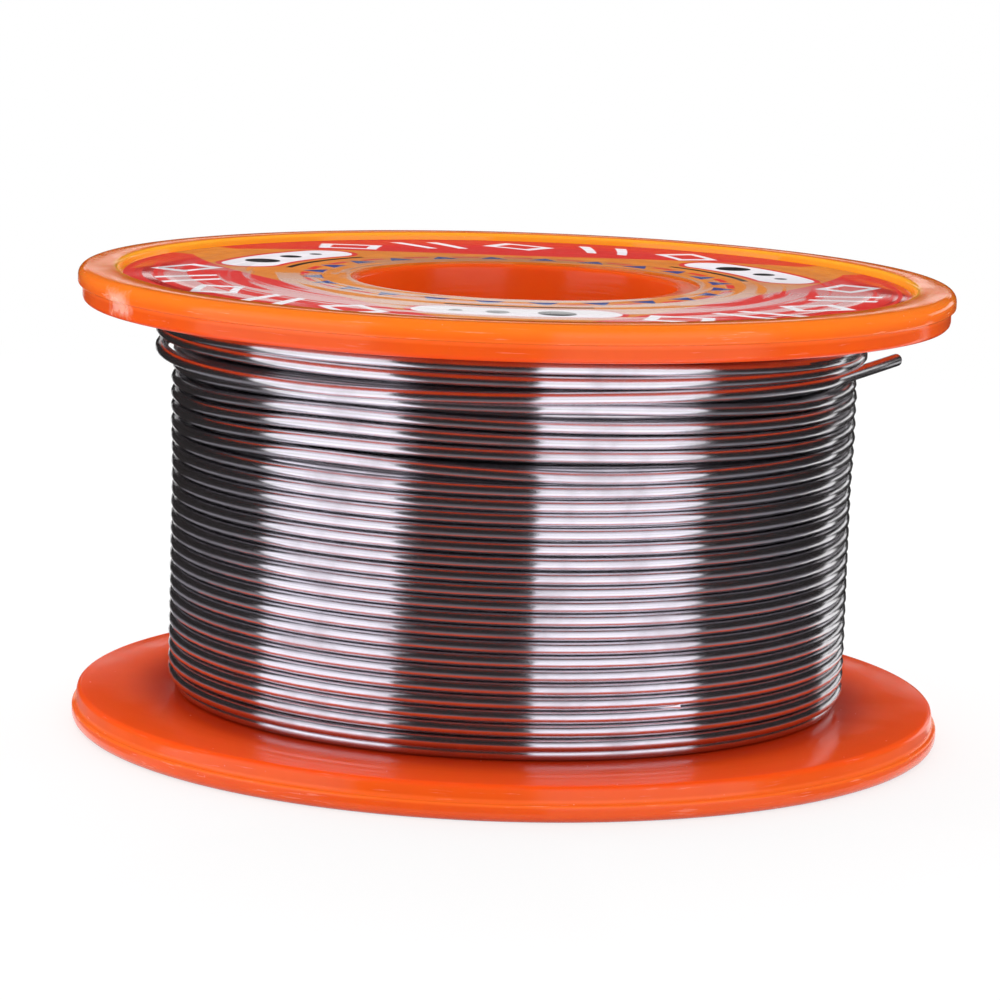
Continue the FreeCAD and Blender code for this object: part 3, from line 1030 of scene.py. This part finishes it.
def makeFlux(finish):
    material, tree, shader = newMaterial("fluxResin")
    place = objectPlace(tree)[0]
    tone = ramp(tree, noise(tree, place, 8.0, 3.0), 0.35, 0.65)
    colour = mixColour(tree, tone, finish["colour"], finish["darkColour"])
    setSockets(tree, shader, Base_Color=colour, Roughness=calc(tree, "MULTIPLY_ADD", tone, 0.2, 0.3))
    forward = (outerPoints[-1] - outerPoints[-2]).normalized()
    middle = outerPoints[-1] - forward * (finish["length"] / 2 - finish["standsOut"])
    deselectAll()
    bpy.ops.mesh.primitive_cylinder_add(vertices=24, radius=windingShape["fluxDiameter"] / 2,
                                        depth=finish["length"], location=middle,
                                        rotation=forward.to_track_quat("Z", "Y").to_euler())
    flux = bpy.context.object
    flux.name = "flux_tip"
    flux.data.name = "flux_tip"
    bpy.ops.object.transform_apply(location=True, rotation=True, scale=True)
    editPiece(flux)
    pickFaces(lambda centre, normal: abs(normal.dot(forward)) > 0.9)
    bpy.ops.mesh.inset(thickness=finish["chamfer"])
    bpy.ops.transform.translate(value=forward * finish["bulge"])
    endPiece(flux)
    paint(flux, material)
    return flux


fluxTip = makeFlux(fluxFinish)
placed(fluxTip, "flux", "flux_core")

# studio

studio = {
    "cameraPlace": (0.0, -254.06 * mm, 55.79 * mm),
    "cameraYaw": -0.0026,         # radians, as the next two
    "cameraPitch": 0.1618,
    "cameraRoll": 0.0319,
    "lens": 146.1,
    "lampDistance": 0.50,
    "lampGlow": 0.92,             # radiance of the two big lamps in front
    "backGlow": 2.6,
    "cardDistance": 0.40,
    "backDistance": 2.0,
    "slitEdges": (158, 202),      # behind, between a low and a high card
    "slitHeights": (0.245, 0.305),
    "mirrorRadius": 21.8 * mm,    # of the winding, which mirrors the cards
    "sheetHeight": 0.4 * mm,      # of the cards that lie over the floor
    "ambient": 0.50,
    "floorLift": 0.72,
    "floorFade": (30.0, 190.0),   # radii in millimetres between which the floor turns white
}

# left and right edges in degrees, 0 towards the camera and positive to its right
lampZones = (("Left", -90, -38), ("Right", 9.3, 66.7))
darkZones = (("Middle", -38, 9.3, "dimCard"), ("Right", 66.7, 133, "duskCard"),
             ("Left", -165, -90, "duskCard"))

cardGlows = {"blackCard": 0.0, "dimCard": 0.16, "duskCard": 0.24, "softCard": 0.84, "lampCard": 1.4,
             "glareCard": 1.6}


def direction(azimuth, elevation):
    # azimuth 0 is towards the camera, positive to its right
    a, e = math.radians(azimuth), math.radians(elevation)
    return Vector((math.sin(a) * math.cos(e), -math.cos(a) * math.cos(e), math.sin(e)))


def makeCamera():
    camera = bpy.data.objects.new("camera", bpy.data.cameras.new("camera"))
    bpy.context.scene.collection.objects.link(camera)
    yaw, pitch, roll = studio["cameraYaw"], studio["cameraPitch"], studio["cameraRoll"]
    ahead = Vector((math.sin(yaw) * math.cos(pitch), math.cos(yaw) * math.cos(pitch), -math.sin(pitch)))
    right = ahead.cross(Vector((0, 0, 1))).normalized()
    up = right.cross(ahead)
    tilted = right * math.cos(roll) + up * math.sin(roll)
    tiltedUp = up * math.cos(roll) - right * math.sin(roll)
    turned = Matrix((tilted, tiltedUp, -ahead)).transposed().to_4x4()
    camera.matrix_world = Matrix.Translation(Vector(studio["cameraPlace"])) @ turned
    camera.data.lens = studio["lens"]
    camera.data.sensor_width = 36
    camera.data.clip_start = 0.01
    camera.data.clip_end = 20
    bpy.context.scene.camera = camera


def makeSoftbox(name, glow, leftEdge, rightEdge, bottom, top):
    # lights the piece, while the cards below are what shiny surfaces show
    middle = spoolHeight / 2
    azimuth = (leftEdge + rightEdge) / 2
    elevation = (bottom + top) / 2
    reach = studio["lampDistance"]
    width = 2 * reach * math.tan(math.radians(rightEdge - leftEdge) / 2)
    height = 2 * reach * math.tan(math.radians(top - bottom) / 2)
    lamp = bpy.data.lights.new(name, "AREA")
    lamp.shape = "RECTANGLE"
    lamp.size = width
    lamp.size_y = height
    lamp.energy = glow * math.pi * width * height
    holder = bpy.data.objects.new(name, lamp)
    bpy.context.scene.collection.objects.link(holder)
    aim = direction(azimuth, elevation)
    holder.location = Vector((0, 0, middle)) + aim * reach
    holder.rotation_euler = aim.to_track_quat("Z", "Y").to_euler()
    holder.visible_glossy = False


def makeCardMaterial(name, glow):
    material, tree, shader = newMaterial(name)
    setSockets(tree, shader, Base_Color=(0.02, 0.018, 0.018, 1), Roughness=1.0, Specular_IOR_Level=0.0,
               Emission_Color=(0.93, 0.90, 1.0, 1), Emission_Strength=glow)
    return material


def makeCard(name, material, leftEdge, rightEdge, rings, followWire=True):
    # curved card through (distance, height) rings, seen only by shiny surfaces; its edges follow
    # what the wire mirrors towards those azimuths, so that they stay upright on the winding
    steps = max(2, round((rightEdge - leftEdge) / 6))
    verts, faces = [], []
    for i in range(steps + 1):
        azimuth = leftEdge + (rightEdge - leftEdge) * i / steps
        aside = studio["mirrorRadius"] * math.sin(math.radians(azimuth / 2)) if followWire else 0.0
        for distance, height in rings:
            turn = math.degrees(math.asin(aside / distance))
            verts.append(direction(azimuth - turn, 0) * distance + Vector((0, 0, height)))
    count = len(rings)
    for i in range(steps):
        for j in range(count - 1):
            first = i * count + j
            faces.append((first, first + count, first + count + 1, first + 1))
    mesh = bpy.data.meshes.new(name)
    mesh.from_pydata(verts, [], faces)
    card = bpy.data.objects.new(name, mesh)
    bpy.context.scene.collection.objects.link(card)
    card.data.materials.append(material)
    card.visible_camera = False
    card.visible_diffuse = False
    card.visible_shadow = False
    card.visible_transmission = False
    card.visible_volume_scatter = False


def upright(distance, *elevations):
    # rings of a standing card, at these elevations in degrees
    return [(distance, spoolHeight / 2 + distance * math.tan(math.radians(e))) for e in elevations]


def lying(*distances):
    # rings of a card that lies over the floor
    return [(distance, studio["sheetHeight"]) for distance in distances]


def makeFloor():
    deselectAll()
    bpy.ops.mesh.primitive_plane_add(size=8, location=(0, 0, 0))
    floor = bpy.context.object
    floor.name = "floor"
    material, tree, shader = newMaterial("paleFloor")
    setSockets(tree, shader, Base_Color=(0.90, 0.90, 0.90, 1), Roughness=0.9, Specular_IOR_Level=0.1)
    radius = objectPlace(tree)[4]
    white = tree.nodes.new("ShaderNodeEmission")
    setSockets(tree, white, Color=(1, 1, 1, 1), Strength=1.0)
    blended = tree.nodes.new("ShaderNodeMixShader")
    share = ramp(tree, radius, *studio["floorFade"], studio["floorLift"], 1.0)
    tree.links.new(product(tree, share, seenShare(tree)), blended.inputs[0])
    tree.links.new(shader.outputs[0], blended.inputs[1])
    tree.links.new(white.outputs[0], blended.inputs[2])
    tree.links.new(blended.outputs[0], tree.nodes["Material Output"].inputs["Surface"])
    floor.data.materials.append(material)


def makeWorld():
    world = bpy.data.worlds.new("studioWorld")
    bpy.context.scene.world = world
    world.use_nodes = True
    tree = world.node_tree
    tree.nodes.clear()
    output = tree.nodes.new("ShaderNodeOutputWorld")
    background = tree.nodes.new("ShaderNodeBackground")
    strength = ramp(tree, seenShare(tree), 0.0, 1.0, studio["ambient"], 1.0, smooth=False)
    setSockets(tree, background, Color=(1, 1, 1, 1), Strength=strength)
    tree.links.new(background.outputs[0], output.inputs["Surface"])
    # even light, so that the black cards stay black in soft gloss
    world.cycles.sampling_method = "NONE"


makeCamera()
# left, right, bottom and top edges in degrees
makeSoftbox("softboxLeft", studio["lampGlow"], -108, -28, -6, 68)
makeSoftbox("softboxRight", studio["lampGlow"], 0, 78, -6, 68)
makeSoftbox("softboxBack", studio["backGlow"], 110, 250, 0, 50)
cards = {name: makeCardMaterial(name, glow) for name, glow in cardGlows.items()}
black, soft = cards["blackCard"], cards["softCard"]
near = studio["cardDistance"]
far = studio["backDistance"]
# between the lamps: black, over a dim sheet round the foot
for name, left, right, sheet in darkZones:
    makeCard("card" + name, black, left, right, upright(near, -3, 64))
    makeCard("sheet" + name, cards[sheet], left, right, lying(0.028, 0.040, 0.055))
    makeCard("cloth" + name, black, left, right, lying(0.055, 0.08, 0.13, 0.25, 1.5))
# behind: a gap low on the right, and a slit that the label shines with
makeCard("cardBackRight", black, 128, 162, upright(near, 8.2, 64), followWire=False)
slitLow, slitHigh = studio["slitHeights"]
makeCard("cardBackLow", black, *studio["slitEdges"], [(far, -0.05), (far, slitLow)], followWire=False)
makeCard("cardBackHigh", black, *studio["slitEdges"], [(far, slitHigh), *upright(far, 66)],
         followWire=False)
makeCard("clothBack", black, 128, 198, lying(0.028, 2.2), followWire=False)
# the lamps, dimmer towards their top, over the floor they light
for name, left, right in lampZones:
    makeCard("lampTop" + name, soft, left, right, upright(near, 18, 44))
    makeCard("lampFoot" + name, cards["lampCard"], left, right, upright(near, -1, 18))
    makeCard("skirt" + name, soft, left, right, lying(0.028, 0.032))
    makeCard("glare" + name, cards["glareCard"], left, right, lying(0.032, 0.045, 0.060))
# black overhead
makeCard("cardRing", black, -180, 180, [*upright(near, 44, 66), (near * 0.02, near * 2.4)],
         followWire=False)
makeFloor()
makeWorld()
bpy.context.scene.view_settings.view_transform = "Standard"
print("studio set")
